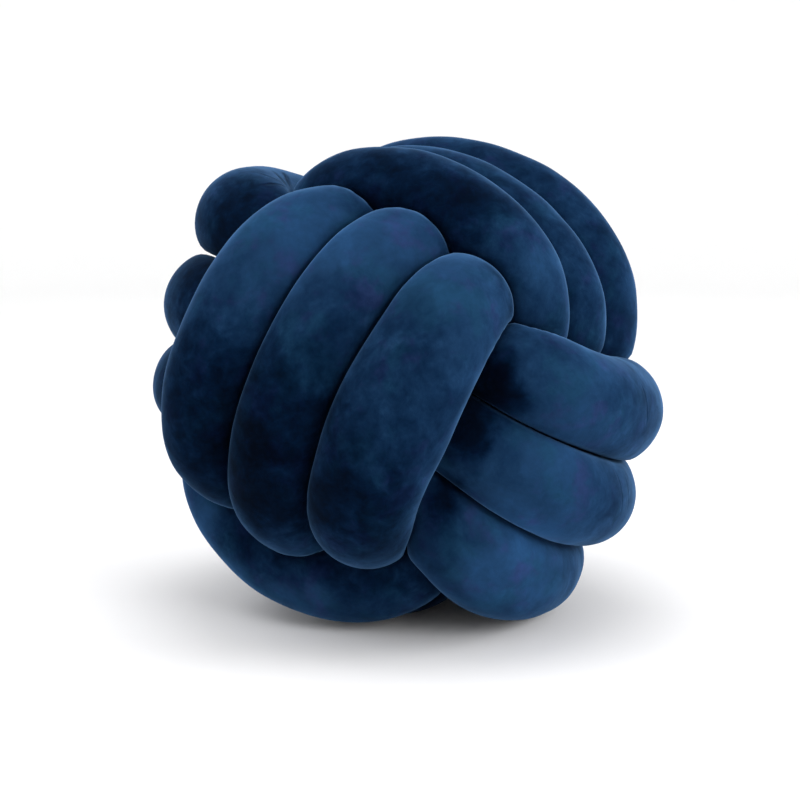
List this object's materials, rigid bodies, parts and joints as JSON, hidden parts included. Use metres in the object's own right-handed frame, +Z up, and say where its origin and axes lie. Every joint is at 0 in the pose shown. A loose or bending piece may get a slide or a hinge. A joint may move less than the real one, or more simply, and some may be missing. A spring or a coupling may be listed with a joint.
{
  "type": "knot cushion",
  "caption": "Ball cushion wound from one long stuffed velvet tube, its strands going over and under one another on every side.",
  "frame": {"origin": "on the floor, below the middle of the ball's box", "axes": "+Z up, -Y towards the viewer of the picture, +X to the viewer's right"},
  "size_m": [0.364, 0.3582, 0.3359],
  "materials": {
    "velvet": "short-pile velvet, dark blue, softly mottled where the pile lies different ways"
  },
  "bodies": {
    "root": {"knotted_tube": "velvet"}
  },
  "joints": []
}
